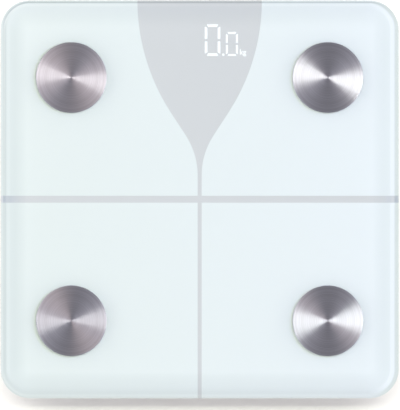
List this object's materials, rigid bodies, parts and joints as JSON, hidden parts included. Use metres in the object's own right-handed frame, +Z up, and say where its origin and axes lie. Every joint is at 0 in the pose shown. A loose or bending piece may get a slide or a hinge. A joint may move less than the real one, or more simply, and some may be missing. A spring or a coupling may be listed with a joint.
{
  "type": "bathroom scale",
  "caption": "Square glass digital bathroom scale with round brushed-steel electrodes, a lit display under the glass and load-cell feet.",
  "frame": {"origin": "on the floor under the middle of the glass, at the bottom of the foot pads", "axes": "+Z up from the floor, +Y towards the display end, +X to the right of a reader of the display"},
  "size_m": [0.3, 0.3, 0.0273],
  "materials": {
    "clear_glass": "clear tempered glass with a polished rounded edge",
    "white_ink": "white screen print under the glass",
    "grey_ink": "pale grey screen print under the glass",
    "lit_segment": "white light through clear windows in the print",
    "spun_steel": "stainless steel, brushed in rings",
    "seal_foam": "thin pale sealing foam",
    "nickel_brass": "turned brass nuts and pressed terminals",
    "white_abs": "white moulded plastic with a fine texture",
    "grey_rubber": "grey soft rubber",
    "cell_steel": "stamped alloy steel",
    "zinc_screw": "zinc-plated steel",
    "white_silicone": "white silicone over the strain gauge",
    "grey_jacket": "grey cable jacket",
    "white_jacket": "white wire insulation",
    "red_jacket": "red wire insulation",
    "foam_tape": "double-sided foam tape",
    "cell_wrap": "plain dark wrap on a steel can",
    "nickel_strip": "nickel-plated strip",
    "green_board": "green circuit board",
    "display_case": "white display housing",
    "pale_nylon": "natural nylon",
    "chip_black": "black moulded package",
    "can_metal": "pressed shield",
    "grey_button": "grey moulded button"
  },
  "bodies": {
    "scale_body": {"base_tray": "white_abs", "battery_cell_lower": "cell_wrap", "battery_cell_middle": "cell_wrap", "battery_cell_upper": "cell_wrap", "battery_leads": "red_jacket", "board_connectors": "pale_nylon", "board_screws": "zinc_screw", "cell_bracket_heel_left": "white_abs", "cell_bracket_heel_right": "white_abs", "cell_bracket_toe_left": "white_abs", "cell_bracket_toe_right": "white_abs", "cell_cables": "grey_jacket", "cell_screws": "zinc_screw", "contact_plates": "nickel_strip", "contact_springs": "nickel_strip", "controller_chip": "chip_black", "display_segments": "lit_segment", "electrode_heel_left": "spun_steel", "electrode_heel_right": "spun_steel", "electrode_leads": "white_jacket", "electrode_nuts": "nickel_brass", "electrode_seal_heel_left": "seal_foam", "electrode_seal_heel_right": "seal_foam", "electrode_seal_toe_left": "seal_foam", "electrode_seal_toe_right": "seal_foam", "electrode_toe_left": "spun_steel", "electrode_toe_right": "spun_steel", "glass_platform": "clear_glass", "grey_ink_print": "grey_ink", "led_display": "display_case", "load_cell_heel_left": "cell_steel", "load_cell_heel_right": "cell_steel", "load_cell_toe_left": "cell_steel", "load_cell_toe_right": "cell_steel", "main_board": "green_board", "mounting_tape": "foam_tape", "radio_module": "can_metal", "ring_terminals": "nickel_brass", "strain_gauges": "white_silicone", "unit_switch": "chip_black", "white_ink_print": "white_ink"},
    "toe_left_foot": {"foot_cup_toe_left": "white_abs", "foot_pad_toe_left": "grey_rubber", "foot_screw_toe_left": "zinc_screw"},
    "toe_right_foot": {"foot_cup_toe_right": "white_abs", "foot_pad_toe_right": "grey_rubber", "foot_screw_toe_right": "zinc_screw"},
    "heel_left_foot": {"foot_cup_heel_left": "white_abs", "foot_pad_heel_left": "grey_rubber", "foot_screw_heel_left": "zinc_screw"},
    "heel_right_foot": {"foot_cup_heel_right": "white_abs", "foot_pad_heel_right": "grey_rubber", "foot_screw_heel_right": "zinc_screw"},
    "door": {"battery_door": "white_abs"},
    "button": {"unit_button": "grey_button", "switch_plunger": "pale_nylon"}
  },
  "joints": [
    {"name": "toe_left_foot_press", "type": "slide", "parent": "scale_body", "child": "toe_left_foot", "axis": [0, 0, 1], "range_m": [0, 0.0005], "stiffness_N_per_m": 1000000, "deforming": ["load_cell_toe_left"]},
    {"name": "toe_right_foot_press", "type": "slide", "parent": "scale_body", "child": "toe_right_foot", "axis": [0, 0, 1], "range_m": [0, 0.0005], "stiffness_N_per_m": 1000000, "deforming": ["load_cell_toe_right"]},
    {"name": "heel_left_foot_press", "type": "slide", "parent": "scale_body", "child": "heel_left_foot", "axis": [0, 0, 1], "range_m": [0, 0.0005], "stiffness_N_per_m": 1000000, "deforming": ["load_cell_heel_left"]},
    {"name": "heel_right_foot_press", "type": "slide", "parent": "scale_body", "child": "heel_right_foot", "axis": [0, 0, 1], "range_m": [0, 0.0005], "stiffness_N_per_m": 1000000, "deforming": ["load_cell_heel_right"]},
    {"name": "battery_door_hinge", "type": "hinge", "parent": "scale_body", "child": "door", "pos_m": [-0.0264, -0.006, 0.0076], "axis": [0, 1, 0], "range_deg": [0, 75]},
    {"name": "unit_button_press", "type": "slide", "parent": "scale_body", "child": "button", "axis": [0, 0, 1], "range_m": [0, 0.0005], "stiffness_N_per_m": 3000, "springref_m": -0.0003}
  ]
}
